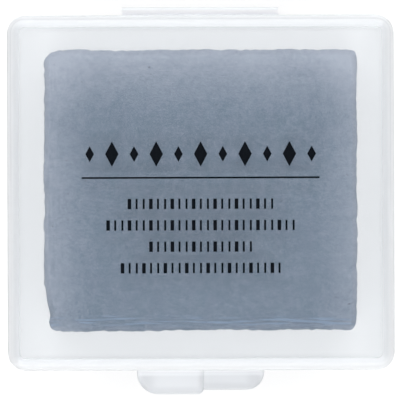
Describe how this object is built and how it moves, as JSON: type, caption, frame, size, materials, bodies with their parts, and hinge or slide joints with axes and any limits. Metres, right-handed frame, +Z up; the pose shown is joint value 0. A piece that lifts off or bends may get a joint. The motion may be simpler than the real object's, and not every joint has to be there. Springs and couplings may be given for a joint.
{
  "type": "kneaded eraser in hinged case",
  "caption": "Square block of kneaded eraser lying in a flat translucent plastic case, whose lid swings open on a folded strap at the back and lifts by a front tab.",
  "frame": {"origin": "centre of the closed case's underside, without the hinge strap and the tabs", "axes": "+Z up out of the lid, +Y towards the hinge at the back, -Y towards the tabs at the front, +X to the right"},
  "size_m": [0.0492, 0.0492, 0.0126],
  "materials": {
    "eraser_putty": "matt, soft, slightly mottled grey-blue putty",
    "case_plastic": "natural polypropylene, translucent, smooth with a soft shine"
  },
  "bodies": {
    "base": {"case_base": "case_plastic", "eraser": "eraser_putty"},
    "lid": {"case_lid": "case_plastic"}
  },
  "joints": [
    {"name": "lid_hinge", "type": "hinge", "parent": "base", "child": "lid", "pos_m": [0, 0.0234, 0.0063], "axis": [-1, 0, 0], "range_deg": [0, 180]}
  ]
}
